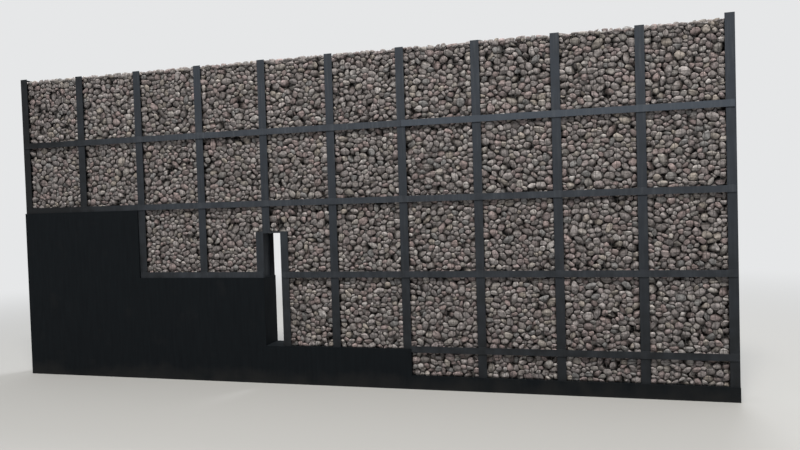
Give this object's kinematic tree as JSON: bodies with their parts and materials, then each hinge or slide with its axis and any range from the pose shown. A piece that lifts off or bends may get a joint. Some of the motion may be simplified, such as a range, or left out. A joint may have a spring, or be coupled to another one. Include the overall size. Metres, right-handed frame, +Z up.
{
  "type": "stone-filled gabion wall",
  "caption": "Steel-framed gabion wall: posts and rails hold wire panels filled with rounded cobbles, on a black-coated base stepped to a slope.",
  "frame": {"origin": "middle of the wall's length and thickness, at the lowest ground", "axes": "+X along the wall to the right as seen from its front face, -Y out of the front face, +Z up"},
  "size_m": [9.2456, 0.35, 4.1906],
  "materials": {
    "frame_steel": "charcoal blue-grey paint, matt, lightly weathered",
    "mesh_wire": "dull zinc-coated welded wire",
    "cobbles": "rounded river cobbles, matt",
    "base_coating": "concrete with a black damp-proof coating"
  },
  "bodies": {
    "root": {"post_1": "frame_steel", "post_2": "frame_steel", "post_3": "frame_steel", "post_4": "frame_steel", "post_5": "frame_steel", "post_6": "frame_steel", "post_7": "frame_steel", "post_8": "frame_steel", "post_9": "frame_steel", "post_10": "frame_steel", "post_11": "frame_steel", "notch_jamb_left": "frame_steel", "notch_jamb_right": "frame_steel", "notch_sill": "frame_steel", "rail_1": "frame_steel", "rail_2": "frame_steel", "rail_3": "frame_steel", "rail_4": "frame_steel", "base_bays_1_2": "base_coating", "base_bays_3_4": "base_coating", "base_bays_5_6": "base_coating", "base_bays_7_9": "base_coating", "base_bay_10": "base_coating", "mesh_bay_1": "mesh_wire", "mesh_bay_2": "mesh_wire", "mesh_bay_3": "mesh_wire", "mesh_bay_4": "mesh_wire", "mesh_bay_5": "mesh_wire", "mesh_bay_6": "mesh_wire", "mesh_bay_7": "mesh_wire", "mesh_bay_8": "mesh_wire", "mesh_bay_9": "mesh_wire", "mesh_bay_10": "mesh_wire", "stone_fill_bay_1": "cobbles", "stone_fill_bay_2": "cobbles", "stone_fill_bay_3": "cobbles", "stone_fill_bay_4": "cobbles", "stone_fill_bay_5": "cobbles", "stone_fill_bay_6": "cobbles", "stone_fill_bay_7": "cobbles", "stone_fill_bay_8": "cobbles", "stone_fill_bay_9": "cobbles", "stone_fill_bay_10": "cobbles"}
  },
  "joints": []
}
